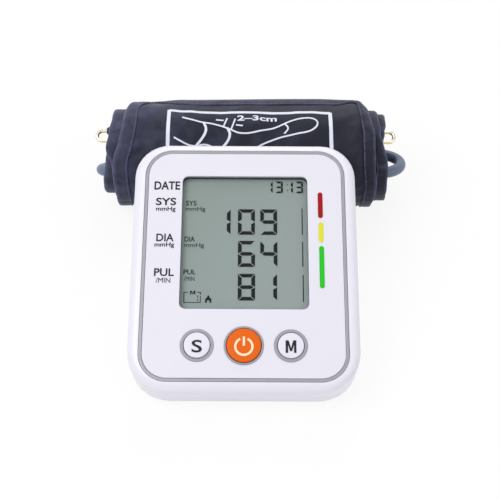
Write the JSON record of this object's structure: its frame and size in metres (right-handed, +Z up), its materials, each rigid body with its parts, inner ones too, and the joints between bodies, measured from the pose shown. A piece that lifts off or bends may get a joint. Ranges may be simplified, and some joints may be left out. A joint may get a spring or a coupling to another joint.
{
  "type": "upper-arm blood pressure monitor",
  "caption": "Wedge-shaped upper-arm blood pressure monitor with display and push buttons, with its rolled fabric cuff and hose lying behind it.",
  "frame": {"origin": "on the table, under the middle of the box round unit and rolled cuff", "axes": "+X to the user's right, +Y to the rear, +Z up"},
  "size_m": [0.1689, 0.1744, 0.0635],
  "materials": {
    "case_base": "fine satin moulding",
    "case_top": "smooth satin-gloss moulding",
    "panel": "flat printed panel with ink lettering",
    "trim": "satin",
    "lens": "clear acrylic",
    "lcd": "grey-green reflective display",
    "inner_white": "natural moulding",
    "contact_rubber": "striped conductive rubber",
    "board": "solder mask",
    "chip": "moulded",
    "button_white": "gloss",
    "button_orange": "gloss",
    "bezel": "satin",
    "steel": "plated",
    "pump": "natural moulding",
    "feet_rubber": "matt",
    "small_tube": "silicone",
    "socket": "satin",
    "cell": "printed jacket",
    "cuff_cloth": "woven nylon with stitched edges",
    "bladder": "matt",
    "hook": "hook tape",
    "ring_metal": "plated wire",
    "elbow": "moulded",
    "hose": "satin rubber",
    "plug": "moulded"
  },
  "bodies": {
    "unit": {"lower_case": "case_base", "upper_case": "case_top", "face_panel": "panel", "trim_ring": "trim", "display_lens": "lens", "lcd_cell": "lcd", "lcd_frame": "inner_white", "zebra_strips": "contact_rubber", "main_board": "board", "board_chips": "chip", "pressure_sensor": "inner_white", "tact_switches": "chip", "buzzer": "chip", "button_bezels": "bezel", "pump_motor": "steel", "pump_head": "pump", "pump_cradle": "feet_rubber", "exhaust_valve": "inner_white", "air_manifold": "inner_white", "inner_tubes": "small_tube", "air_socket": "socket", "power_jack": "chip", "battery_cells": "cell", "battery_springs": "steel", "battery_contacts": "steel", "case_screws": "steel", "board_screws": "steel", "rubber_feet": "feet_rubber"},
    "set_button": {"set_button": "button_white"},
    "power_button": {"power_button": "button_orange"},
    "memory_button": {"memory_button": "button_white"},
    "battery_cover": {"battery_cover": "case_base"},
    "cuff": {"cuff_sleeve": "cuff_cloth", "cuff_bladder": "bladder", "hook_patch": "hook", "cuff_ring": "ring_metal", "hose_elbow": "elbow", "air_hose": "hose", "air_plug": "plug"}
  },
  "joints": [
    {"name": "set_press", "type": "slide", "parent": "unit", "child": "set_button", "axis": [0, 0.342, -0.9397], "range_m": [0, 0.0009], "stiffness_N_per_m": 250, "springref_m": -0.002},
    {"name": "power_press", "type": "slide", "parent": "unit", "child": "power_button", "axis": [0, 0.342, -0.9397], "range_m": [0, 0.0009], "stiffness_N_per_m": 250, "springref_m": -0.002},
    {"name": "memory_press", "type": "slide", "parent": "unit", "child": "memory_button", "axis": [0, 0.342, -0.9397], "range_m": [0, 0.0009], "stiffness_N_per_m": 250, "springref_m": -0.002},
    {"name": "cover_hinge", "type": "hinge", "parent": "unit", "child": "battery_cover", "pos_m": [0, -0.03879, 0.001], "axis": [-1, 0, 0], "range_deg": [0, 75]},
    {"name": "cuff_lift", "type": "slide", "parent": "unit", "child": "cuff", "axis": [0, 0, 1], "range_m": [0, 0.1]}
  ]
}
